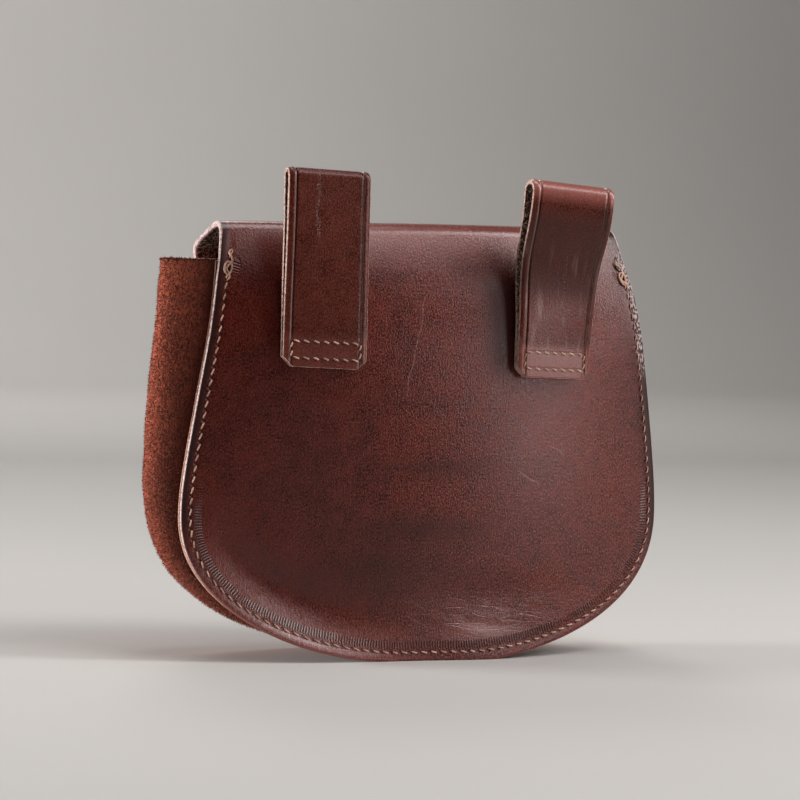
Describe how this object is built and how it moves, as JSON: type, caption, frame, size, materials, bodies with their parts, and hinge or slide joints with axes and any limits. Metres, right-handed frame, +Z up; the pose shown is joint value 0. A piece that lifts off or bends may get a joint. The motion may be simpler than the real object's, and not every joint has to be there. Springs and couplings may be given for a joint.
{
  "type": "belt pouch",
  "caption": "Small leather belt pouch with a rounded bottom, a flap folded over the front, a suede gusset and stitched belt loops on the back.",
  "frame": {"origin": "on the ground, under the middle of the bounding box", "axes": "+Z up, +X across the pouch towards the right belt loop as seen from the belt side, -Y out of the belt side, +Y out of the flap side"},
  "size_m": [0.2092, 0.079, 0.185],
  "materials": {
    "leather": "smooth, lightly polished",
    "front_leather": "smooth",
    "suede": "rough nap",
    "strap_leather": "smooth, creased edges",
    "brass": "satin"
  },
  "bodies": {
    "root": {"back_and_flap": "leather", "gusset": "suede", "front_panel": "front_leather", "belt_loop_left": "strap_leather", "belt_loop_right": "strap_leather", "closing_stud": "brass"}
  },
  "joints": []
}
